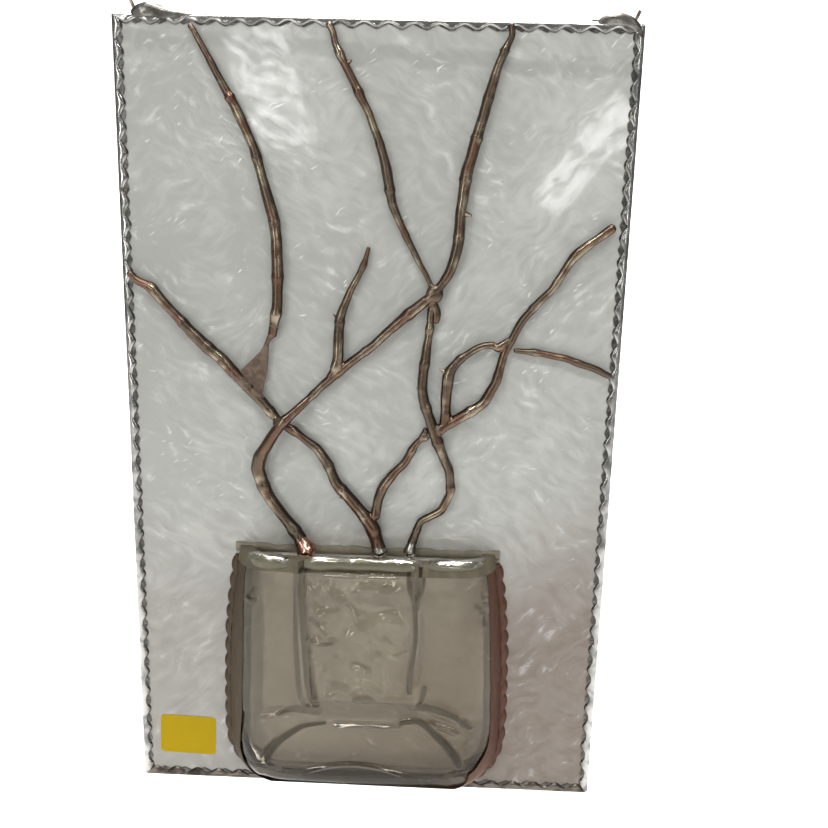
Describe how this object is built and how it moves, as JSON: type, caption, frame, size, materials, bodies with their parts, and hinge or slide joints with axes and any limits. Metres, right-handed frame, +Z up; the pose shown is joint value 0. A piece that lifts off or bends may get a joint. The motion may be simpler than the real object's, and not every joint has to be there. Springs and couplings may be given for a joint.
{
  "type": "hanging bud vase",
  "caption": "Framed flat glass panel with half a bottle as a flat-backed pocket for water and stems, and foil-wrapped twigs soldered across the glass; hangs on wire loops.",
  "frame": {"origin": "on the panel's centre line, in the middle of its thickness, level with the middle of the two hanging loops' wire", "axes": "+Z up, +X to the right as the viewer faces the vase, +Y to the wall, so the viewer is at -Y"},
  "size_m": [0.2032, 0.0236, 0.3355],
  "materials": {
    "panel_glass": "semi-opaque white streaky glass, rippled",
    "bottle_glass": "clear pressed bottle glass, grey-brown where the foils show through",
    "copper_foil": "copper foil tape, dark patina",
    "solder": "beaded solder, dark grey patina with bright crests",
    "hanger_wire": "tinned wire",
    "twig_foil": "copper foil run over with thin solder, copper-brown patina",
    "twig_wood": "dry twig with its bark",
    "sticker_paper": "matt yellow paper"
  },
  "bodies": {
    "root": {"glass_panel": "panel_glass", "pocket_glass": "bottle_glass", "edge_foil_left": "copper_foil", "edge_solder_left": "solder", "edge_foil_right": "copper_foil", "edge_solder_right": "solder", "edge_foil_bottom": "copper_foil", "edge_solder_bottom": "solder", "edge_foil_top": "copper_foil", "edge_solder_top": "solder", "pocket_edge_wrap": "copper_foil", "pocket_rim_foil": "copper_foil", "pocket_strip_left": "copper_foil", "pocket_strip_right": "copper_foil", "pocket_strip_top": "copper_foil", "pocket_seam_left": "solder", "pocket_seam_right": "solder", "rim_solder_left": "solder", "rim_solder_centre": "solder", "rim_solder_right": "solder", "crossing_solder": "solder", "fork_solder": "solder", "heart_solder": "solder", "shoot_solder": "solder", "fork_tip_solder": "solder", "branch_solder": "solder", "stub_solder": "solder", "arc_solder": "solder", "base_solder_left": "solder", "base_solder_centre": "solder", "base_solder_right": "solder", "trunk_wood": "twig_wood", "trunk_wrap": "twig_foil", "centre_fork_wood": "twig_wood", "centre_fork_wrap": "twig_foil", "left_twig_wood": "twig_wood", "left_twig_wrap": "twig_foil", "side_shoot_wood": "twig_wood", "side_shoot_wrap": "twig_foil", "top_left_twig_wood": "twig_wood", "top_left_twig_wrap": "twig_foil", "top_right_twig_wood": "twig_wood", "top_right_twig_wrap": "twig_foil", "upper_twig_wood": "twig_wood", "upper_twig_wrap": "twig_foil", "right_twig_wood": "twig_wood", "right_twig_wrap": "twig_foil", "right_branch_wood": "twig_wood", "right_branch_wrap": "twig_foil", "stub_twig_wood": "twig_wood", "stub_twig_wrap": "twig_foil", "right_edge_twig_wood": "twig_wood", "right_edge_twig_wrap": "twig_foil", "twig_web": "twig_foil", "hanger_loop_left": "hanger_wire", "hanger_solder_left": "solder", "hanger_loop_right": "hanger_wire", "hanger_solder_right": "solder", "price_sticker": "sticker_paper"}
  },
  "joints": []
}
